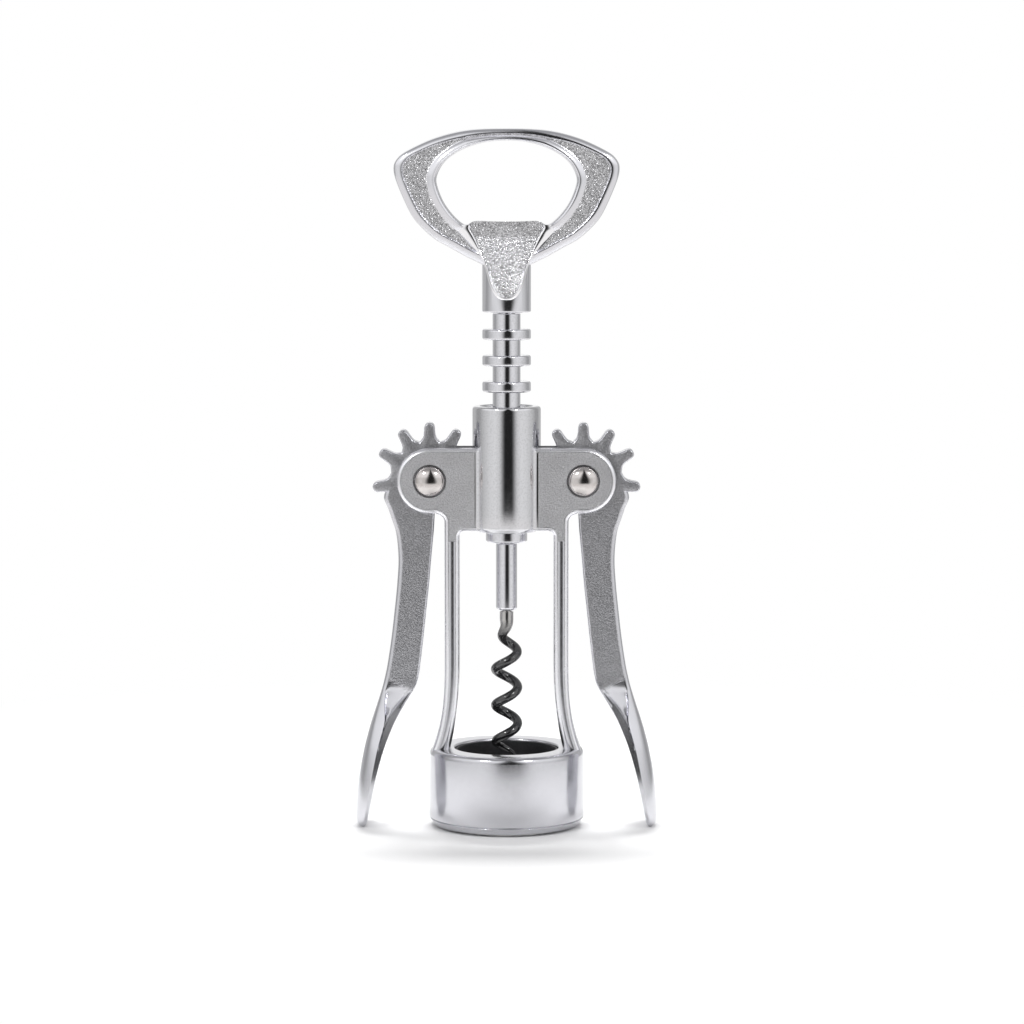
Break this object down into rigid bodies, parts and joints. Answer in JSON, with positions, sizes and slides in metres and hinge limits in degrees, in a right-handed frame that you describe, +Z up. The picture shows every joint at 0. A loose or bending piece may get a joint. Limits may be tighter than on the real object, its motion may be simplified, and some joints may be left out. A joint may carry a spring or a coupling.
{
  "type": "wing corkscrew",
  "caption": "Wing corkscrew with geared side levers, ringed rack, black worm, bell for the bottle's neck and an opener handle.",
  "frame": {"origin": "on the worm's axis, in the plane of the lever tips, 0.6 mm below the bell's foot", "axes": "+Z up along the worm's axis to the handle, +X across the levers towards the right lever, -Y towards the viewer of the picture"},
  "size_m": [0.0756, 0.0388, 0.1753],
  "materials": {
    "cast_chrome": "satin grained cast chrome with polished bevels",
    "polished_chrome": "polished turned chrome",
    "rivet_steel": "mirror polished domed heads",
    "black_coating": "glossy black coating on steel wire",
    "dark_plastic": "plain dark moulded plastic"
  },
  "bodies": {
    "frame": {"frame": "cast_chrome", "bell_liner": "dark_plastic", "left_rivet": "rivet_steel", "right_rivet": "rivet_steel", "left_rivet_cap": "rivet_steel", "right_rivet_cap": "rivet_steel"},
    "left_lever": {"left_lever": "cast_chrome"},
    "right_lever": {"right_lever": "cast_chrome"},
    "rack": {"rack_sleeve": "polished_chrome"},
    "spindle": {"handle": "cast_chrome", "worm_shank": "polished_chrome", "shank_flange": "polished_chrome", "worm": "black_coating"}
  },
  "joints": [
    {"name": "left_lever_swing", "type": "hinge", "parent": "frame", "child": "left_lever", "pos_m": [-0.0192, 0, 0.0876], "axis": [0, 1, 0], "range_deg": [0, 150]},
    {"name": "right_lever_swing", "type": "hinge", "parent": "frame", "child": "right_lever", "pos_m": [0.0192, 0, 0.0876], "axis": [0, -1, 0], "range_deg": [0, 150]},
    {"name": "rack_lift", "type": "slide", "parent": "frame", "child": "rack", "axis": [0, 0, -1], "range_m": [0, 0.0328]},
    {"name": "handle_turn", "type": "hinge", "parent": "rack", "child": "spindle", "pos_m": [0, 0, 0.1296], "axis": [0, 0, 1], "continuous": true}
  ],
  "couplings": [
    {"joint": "right_lever_swing", "follows": "left_lever_swing", "ratio": 1},
    {"joint": "rack_lift", "follows": "left_lever_swing", "m_per_rad": 0.0125}
  ]
}
